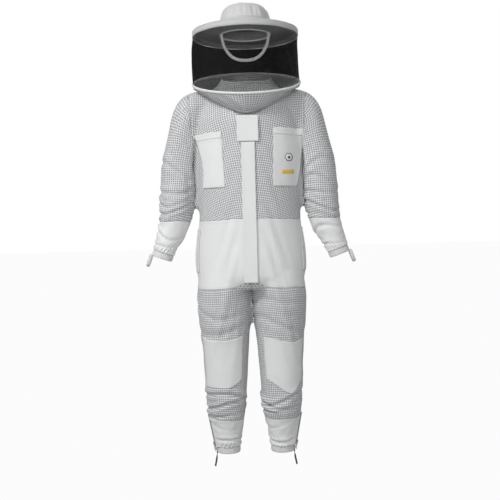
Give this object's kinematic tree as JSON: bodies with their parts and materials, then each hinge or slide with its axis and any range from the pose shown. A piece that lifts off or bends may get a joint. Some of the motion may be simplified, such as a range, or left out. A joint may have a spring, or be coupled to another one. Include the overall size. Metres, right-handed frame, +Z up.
{
  "type": "beekeeping suit",
  "caption": "Full-body ventilated beekeeping coverall with a zip-on round veil hat, storm-flapped front zip, patch pockets, knee patches and elastic cuffs.",
  "frame": {"origin": "between the wearer's shoulders, at the foot of the neck", "axes": "+Z up, -Y is the wearer's front, +X is the wearer's left"},
  "size_m": [0.7992, 0.402, 1.7898],
  "materials": {
    "mesh_fabric": "open square-hole spacer mesh",
    "plain_fabric": "plain woven poly-cotton",
    "elastic": "white knitted elastic",
    "black_webbing": "black hook-and-loop webbing",
    "veil_mesh": "black see-through net",
    "zip_tape": "woven zip tape with a nylon coil",
    "zip_metal": "satin nickel",
    "spring_wire": "plain wire",
    "badge": "soft moulded patch"
  },
  "bodies": {
    "suit": {"ankle_cuff_left": "elastic", "ankle_cuff_right": "elastic", "ankle_zip_left": "zip_tape", "ankle_zip_right": "zip_tape", "back_panel": "mesh_fabric", "chest_panel_left": "mesh_fabric", "chest_panel_right": "mesh_fabric", "chest_pocket_left": "plain_fabric", "chest_pocket_right": "plain_fabric", "collar": "mesh_fabric", "flap_margin": "plain_fabric", "forearm_panel_left": "plain_fabric", "forearm_panel_right": "plain_fabric", "hang_loop": "plain_fabric", "hip_panel_left": "plain_fabric", "hip_panel_right": "plain_fabric", "hip_pocket_left": "plain_fabric", "hip_pocket_right": "plain_fabric", "knee_patch_left": "plain_fabric", "knee_patch_right": "plain_fabric", "leg_back_left": "mesh_fabric", "leg_back_right": "mesh_fabric", "leg_front_left": "mesh_fabric", "leg_front_right": "mesh_fabric", "main_zip_left": "zip_tape", "main_zip_right": "zip_tape", "neck_placket": "plain_fabric", "neck_zip": "zip_tape", "pocket_badge": "badge", "seat_panel": "plain_fabric", "shin_panel_left": "plain_fabric", "shin_panel_right": "plain_fabric", "sleeve_left": "mesh_fabric", "sleeve_right": "mesh_fabric", "waist_elastic": "elastic", "wrist_cuff_left": "elastic", "wrist_cuff_right": "elastic"},
    "hood": {"hat_crown": "plain_fabric", "hat_brim": "plain_fabric", "brim_binding": "plain_fabric", "brim_wire": "spring_wire", "sweatband": "elastic", "chin_strap": "elastic", "veil": "veil_mesh", "hoop_binding": "plain_fabric", "hoop_wire": "spring_wire", "hood_skirt": "mesh_fabric", "hood_zip": "zip_tape"},
    "throat_tab": {"throat_tab": "plain_fabric"},
    "storm_flap": {"storm_flap": "plain_fabric"},
    "main_slider": {"main_zip_slider": "zip_metal", "main_zip_pull": "zip_metal"},
    "hood_slider_left": {"hood_zip_slider_left": "zip_metal"},
    "ankle_slider_left": {"ankle_zip_slider_left": "zip_metal"},
    "ankle_strap_left": {"ankle_strap_left": "black_webbing"},
    "thumb_loop_left": {"thumb_loop_left": "elastic"},
    "hood_slider_right": {"hood_zip_slider_right": "zip_metal"},
    "ankle_slider_right": {"ankle_zip_slider_right": "zip_metal"},
    "ankle_strap_right": {"ankle_strap_right": "black_webbing"},
    "thumb_loop_right": {"thumb_loop_right": "elastic"}
  },
  "joints": [
    {"name": "hood_tilt", "type": "hinge", "parent": "suit", "child": "hood", "pos_m": [0, 0.116, 0.006], "axis": [-1, 0, 0], "range_deg": [0, 105]},
    {"name": "throat_tab_lift", "type": "hinge", "parent": "hood", "child": "throat_tab", "pos_m": [0, -0.1501, -0.124], "axis": [-1, 0, 0], "range_deg": [0, 105]},
    {"name": "storm_flap_open", "type": "hinge", "parent": "suit", "child": "storm_flap", "pos_m": [-0.026, -0.1501, -0.48], "axis": [0, 0, -1], "range_deg": [0, 140]},
    {"name": "main_zip_slide", "type": "slide", "parent": "suit", "child": "main_slider", "axis": [0, 0, -1], "range_m": [0, 0.505]},
    {"name": "hood_zip_slide_left", "type": "hinge", "parent": "hood", "child": "hood_slider_left", "pos_m": [-0.041, 0.00678, 0.00511], "axis": [-0.0969, -0.6326, 0.7684], "range_deg": [0, 27]},
    {"name": "ankle_zip_slide_left", "type": "slide", "parent": "suit", "child": "ankle_slider_left", "axis": [0.1874, 0, 0.9823], "range_m": [0, 0.1]},
    {"name": "ankle_strap_swing_left", "type": "hinge", "parent": "suit", "child": "ankle_strap_left", "pos_m": [0.15048, 0.01655, -1.4008], "axis": [0.342, -0.9397, 0], "range_deg": [0, 80]},
    {"name": "thumb_loop_swing_left", "type": "hinge", "parent": "suit", "child": "thumb_loop_left", "pos_m": [0.3839, -0.027, -0.6281], "axis": [0, -1, 0], "range_deg": [0, 60]},
    {"name": "hood_zip_slide_right", "type": "hinge", "parent": "hood", "child": "hood_slider_right", "pos_m": [0.041, 0.00678, 0.00511], "axis": [-0.0969, 0.6326, -0.7684], "range_deg": [0, 27]},
    {"name": "ankle_zip_slide_right", "type": "slide", "parent": "suit", "child": "ankle_slider_right", "axis": [-0.1874, 0, 0.9823], "range_m": [0, 0.1]},
    {"name": "ankle_strap_swing_right", "type": "hinge", "parent": "suit", "child": "ankle_strap_right", "pos_m": [-0.15048, 0.01655, -1.4008], "axis": [0.342, 0.9397, 0], "range_deg": [0, 80]},
    {"name": "thumb_loop_swing_right", "type": "hinge", "parent": "suit", "child": "thumb_loop_right", "pos_m": [-0.3839, -0.027, -0.6281], "axis": [0, 1, 0], "range_deg": [0, 60]}
  ]
}
